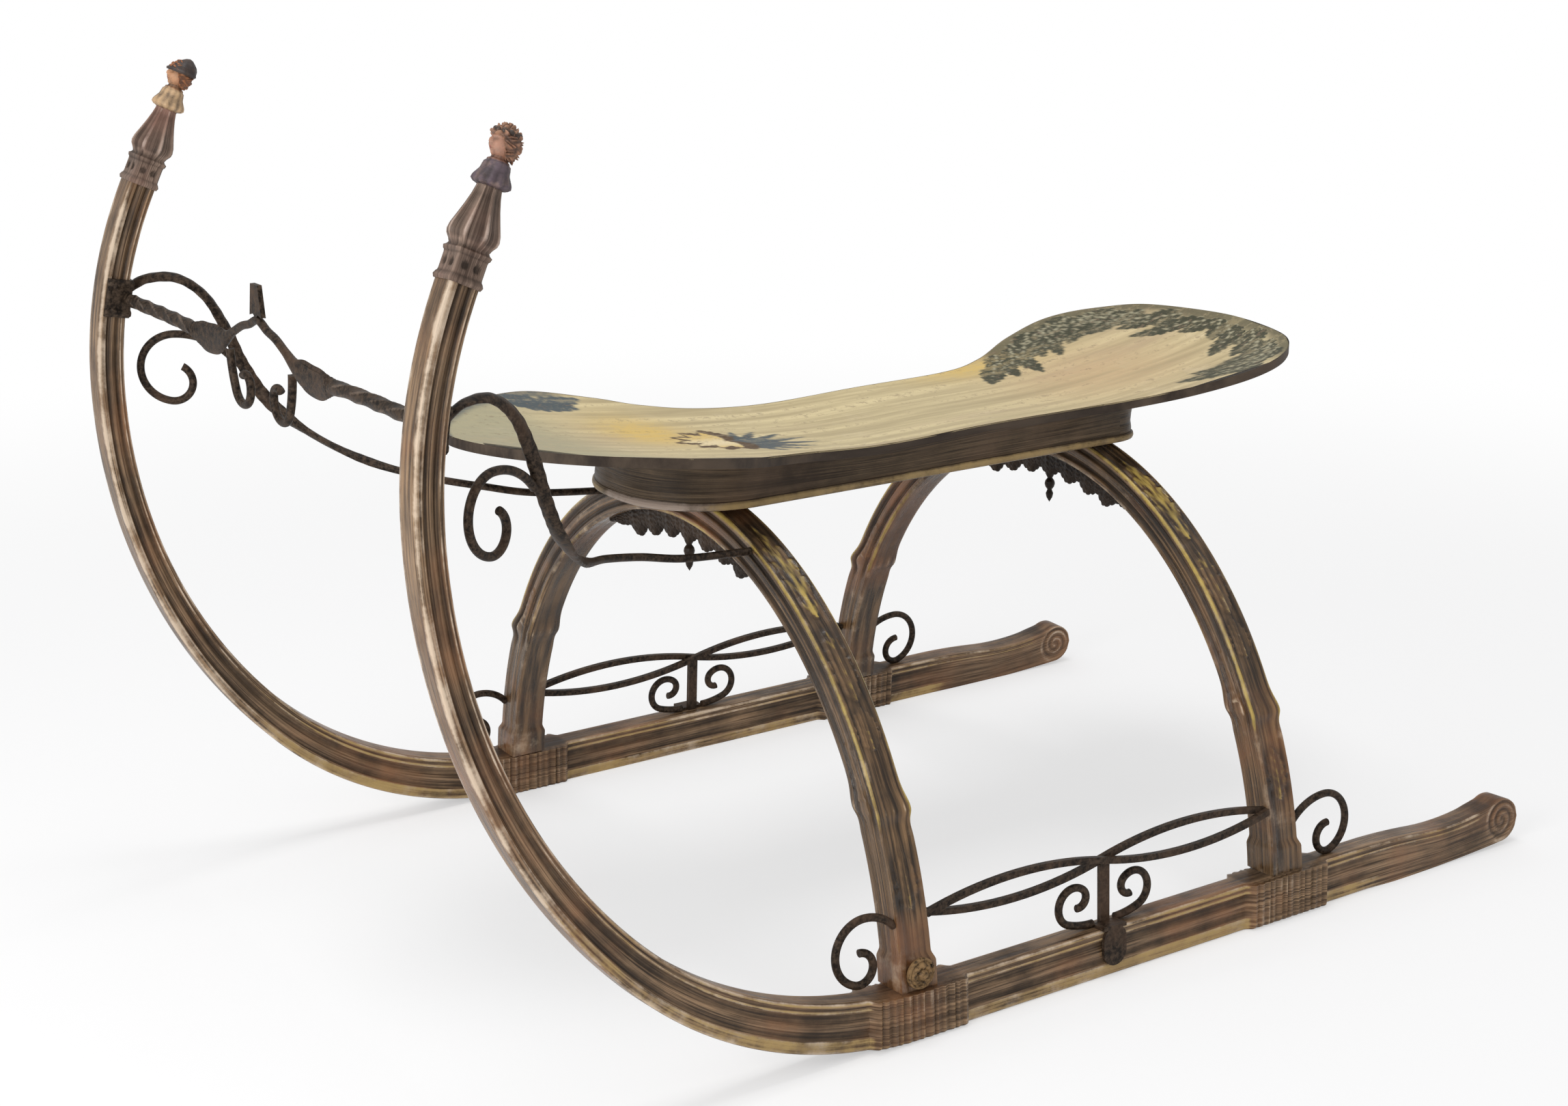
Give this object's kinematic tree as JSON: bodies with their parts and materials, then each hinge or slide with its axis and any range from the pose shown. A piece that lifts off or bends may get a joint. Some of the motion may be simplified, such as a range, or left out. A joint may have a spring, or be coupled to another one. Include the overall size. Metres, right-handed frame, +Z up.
{
  "type": "wooden riding sled",
  "caption": "Bentwood riding sled: two runners rising to carved horns, two arched bows, a dished seat board and wrought iron bar, stays and scrolls.",
  "frame": {"origin": "on the ground under the middle of the sled's length and width", "axes": "+X forward to the horns, +Y the sled's left side, +Z up"},
  "size_m": [1.176, 0.72, 0.7746],
  "materials": {
    "runner_wood": "worn brown stain over gilded edges",
    "bow_wood": "worn brown stain with gilded flutes",
    "seat_paint": "worn cream and ochre paint",
    "skirt_wood": "dark brown stain",
    "painted_carving": "carved and painted, worn",
    "wrought_iron": "dark brown patina"
  },
  "bodies": {
    "root": {"apron_front": "bow_wood", "apron_rear": "bow_wood", "bow_front": "bow_wood", "bow_rear": "bow_wood", "crest_hooks": "wrought_iron", "crest_plate": "wrought_iron", "end_scroll_front_left": "wrought_iron", "end_scroll_front_right": "wrought_iron", "end_scroll_rear_left": "wrought_iron", "end_scroll_rear_right": "wrought_iron", "foot_rosette_left": "wrought_iron", "foot_rosette_right": "wrought_iron", "horn_bust_left": "painted_carving", "horn_bust_right": "painted_carving", "horn_clamp_left": "wrought_iron", "horn_clamp_right": "wrought_iron", "horn_crossbar": "wrought_iron", "horn_finial_left": "runner_wood", "horn_finial_right": "runner_wood", "runner_left": "runner_wood", "runner_right": "runner_wood", "seat_board": "seat_paint", "seat_moulding": "skirt_wood", "seat_skirt": "skirt_wood", "side_brace_left": "wrought_iron", "side_brace_right": "wrought_iron", "side_curls_left": "wrought_iron", "side_curls_right": "wrought_iron", "side_post_left": "wrought_iron", "side_post_right": "wrought_iron", "stay_scroll_left": "wrought_iron", "stay_scroll_right": "wrought_iron", "stay_strap_left": "wrought_iron", "stay_strap_right": "wrought_iron"}
  },
  "joints": []
}
